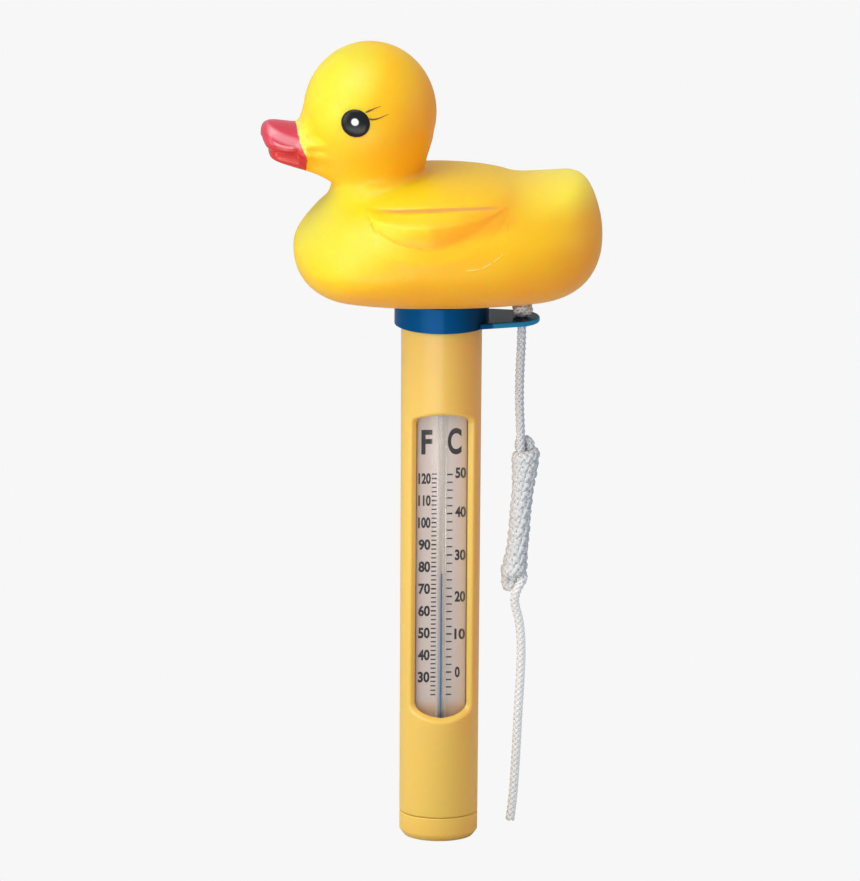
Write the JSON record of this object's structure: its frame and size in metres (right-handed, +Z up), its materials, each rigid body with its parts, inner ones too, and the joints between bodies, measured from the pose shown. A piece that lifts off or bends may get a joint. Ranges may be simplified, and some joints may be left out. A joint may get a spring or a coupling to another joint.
{
  "type": "floating pool thermometer",
  "caption": "Floating pool thermometer: a hollow vinyl duck on a weighted upright tube with a scale window, a swivelling lug collar and a knotted tether cord.",
  "frame": {"origin": "centre of the flat base face of the end cap, on the tube's axis", "axes": "+Z up along the tube's axis to the duck; the scale window faces -Y, the duck looks towards -X, the tether lug points to +X at rest"},
  "size_m": [0.1022, 0.0722, 0.2446],
  "materials": {
    "duck_vinyl": "satin soft vinyl, painted bill and eyes",
    "case_plastic": "semi-gloss moulded plastic",
    "collar_plastic": "glossy moulded plastic",
    "clear_plastic": "clear, polished",
    "stem_glass": "clear drawn glass",
    "blue_spirit": "dyed liquid",
    "card_stock": "printed plastic card",
    "holder_plastic": "moulded white plastic",
    "plug_rubber": "soft moulded stopper",
    "seal_rubber": "soft black seal",
    "cushion_foam": "closed-cell foam",
    "ballast_steel": "turned bar",
    "cord_fibre": "braided white cord"
  },
  "bodies": {
    "case": {"case_tube": "case_plastic", "end_cap": "case_plastic", "cap_seal": "seal_rubber", "ballast_weight": "ballast_steel", "lower_cushion": "cushion_foam", "upper_cushion": "cushion_foam", "clear_sleeve": "clear_plastic", "sleeve_lower_plug": "plug_rubber", "sleeve_upper_plug": "plug_rubber", "scale_card": "card_stock", "glass_stem": "stem_glass", "spirit_reservoir": "blue_spirit", "lower_stem_holder": "holder_plastic", "upper_stem_holder": "holder_plastic", "float_plug": "case_plastic", "plug_seal": "seal_rubber", "duck_float": "duck_vinyl"},
    "collar": {"tether_collar": "collar_plastic", "stopper_knot": "cord_fibre", "tether_cord_upper": "cord_fibre", "cord_hank": "cord_fibre", "tether_cord_lower": "cord_fibre"},
    "spirit": {"spirit_column": "blue_spirit"}
  },
  "joints": [
    {"name": "collar_swivel", "type": "hinge", "parent": "case", "child": "collar", "pos_m": [0, 0, 0.16185], "axis": [0, 0, 1], "continuous": true},
    {"name": "spirit_rise", "type": "slide", "parent": "case", "child": "spirit", "axis": [0, 0, 1], "range_m": [-0.0378, 0.0305], "deforming": ["spirit_column"]}
  ]
}
